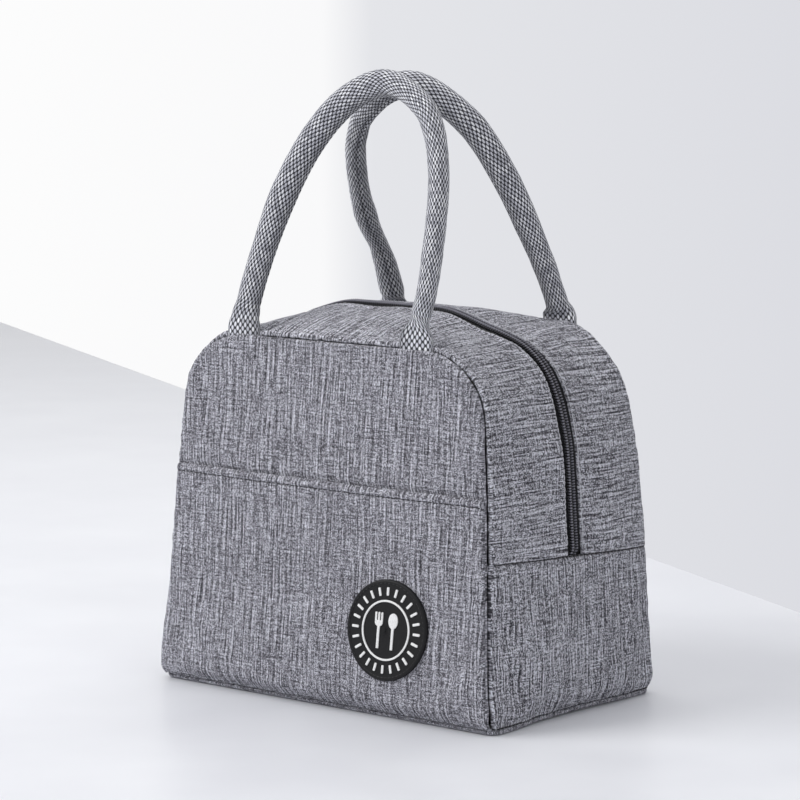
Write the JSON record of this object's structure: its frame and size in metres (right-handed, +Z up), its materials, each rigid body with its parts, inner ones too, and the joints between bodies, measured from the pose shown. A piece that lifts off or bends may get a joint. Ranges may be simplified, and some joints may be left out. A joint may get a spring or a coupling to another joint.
{
  "type": "insulated lunch bag",
  "caption": "Soft insulated lunch bag with a trapezoid front, zipped top, corded webbing handles, front slip pocket and round moulded badge.",
  "frame": {"origin": "middle of the flat foot, on the table", "axes": "+Z up, -Y out of the front with the pocket and badge, +X to the right seen from the front"},
  "size_m": [0.231, 0.1421, 0.3228],
  "materials": {
    "outer_cloth": "heather grey woven polyester, matt, thin light and dark streaks",
    "foam": "white closed-cell polyethylene foam, matt",
    "foil_lining": "aluminised film, soft silver sheen, lightly crinkled",
    "seam_tape": "black woven binding tape",
    "badge_rubber": "black moulded rubber, satin",
    "badge_print": "raised white moulding",
    "zip_tape": "black woven zip tape",
    "zip_coil": "black nylon coil, satin",
    "zip_metal": "dark gunmetal lacquer",
    "handle_webbing": "dark grey tubular webbing with light flecks",
    "cord_core": "twisted cotton filler cord"
  },
  "bodies": {
    "lower_body": {"base_panel": "outer_cloth", "base_foam": "foam", "base_lining": "foil_lining", "base_seam_binding": "seam_tape", "side_panel_left": "outer_cloth", "side_foam_left": "foam", "side_lining_left": "foil_lining", "side_panel_right": "outer_cloth", "side_foam_right": "foam", "side_lining_right": "foil_lining", "side_seam_bindings": "seam_tape", "front_panel_lower": "outer_cloth", "front_foam_lower": "foam", "front_lining_lower": "foil_lining", "back_panel_lower": "outer_cloth", "back_foam_lower": "foam", "back_lining_lower": "foil_lining", "pocket_lower": "outer_cloth", "badge_disc": "badge_rubber", "badge_inlay": "badge_print"},
    "mouth_front": {"front_panel_upper": "outer_cloth", "front_foam_upper": "foam", "front_lining_upper": "foil_lining", "pocket_upper": "outer_cloth", "gusset_front": "outer_cloth", "gusset_foam_front": "foam", "gusset_lining_front": "foil_lining", "front_seam_binding": "seam_tape", "zipper_tape_front": "zip_tape", "zipper_coil_front": "zip_coil", "front_handle_ends": "handle_webbing"},
    "mouth_back": {"back_panel_upper": "outer_cloth", "back_foam_upper": "foam", "back_lining_upper": "foil_lining", "gusset_back": "outer_cloth", "gusset_foam_back": "foam", "gusset_lining_back": "foil_lining", "back_seam_binding": "seam_tape", "zipper_tape_back": "zip_tape", "zipper_coil_back": "zip_coil", "back_handle_ends": "handle_webbing"},
    "front_handle": {"front_handle_webbing": "handle_webbing", "front_handle_core": "cord_core"},
    "back_handle": {"back_handle_webbing": "handle_webbing", "back_handle_core": "cord_core"},
    "slider": {"zipper_slider": "zip_metal"},
    "pull": {"zipper_pull": "zip_metal"}
  },
  "joints": [
    {"name": "mouth_front_fold", "type": "hinge", "parent": "lower_body", "child": "mouth_front", "pos_m": [0, -0.06935, 0.08115], "axis": [1, 0, 0], "range_deg": [0, 20]},
    {"name": "mouth_back_fold", "type": "hinge", "parent": "lower_body", "child": "mouth_back", "pos_m": [0, 0.06795, 0.08115], "axis": [-1, 0, 0], "range_deg": [0, 20]},
    {"name": "front_handle_swing", "type": "hinge", "parent": "mouth_front", "child": "front_handle", "pos_m": [0, -0.05866, 0.1935], "axis": [1, 0, 0], "range_deg": [0, 170]},
    {"name": "back_handle_swing", "type": "hinge", "parent": "mouth_back", "child": "back_handle", "pos_m": [0, 0.05866, 0.1935], "axis": [-1, 0, 0], "range_deg": [0, 180]},
    {"name": "slider_travel", "type": "slide", "parent": "lower_body", "child": "slider", "axis": [0.0758, 0, 0.9971], "range_m": [0, 0.05]},
    {"name": "pull_flip", "type": "hinge", "parent": "slider", "child": "pull", "pos_m": [-0.11472, 0, 0.0934], "axis": [0, 1, 0], "range_deg": [0, 170]}
  ]
}
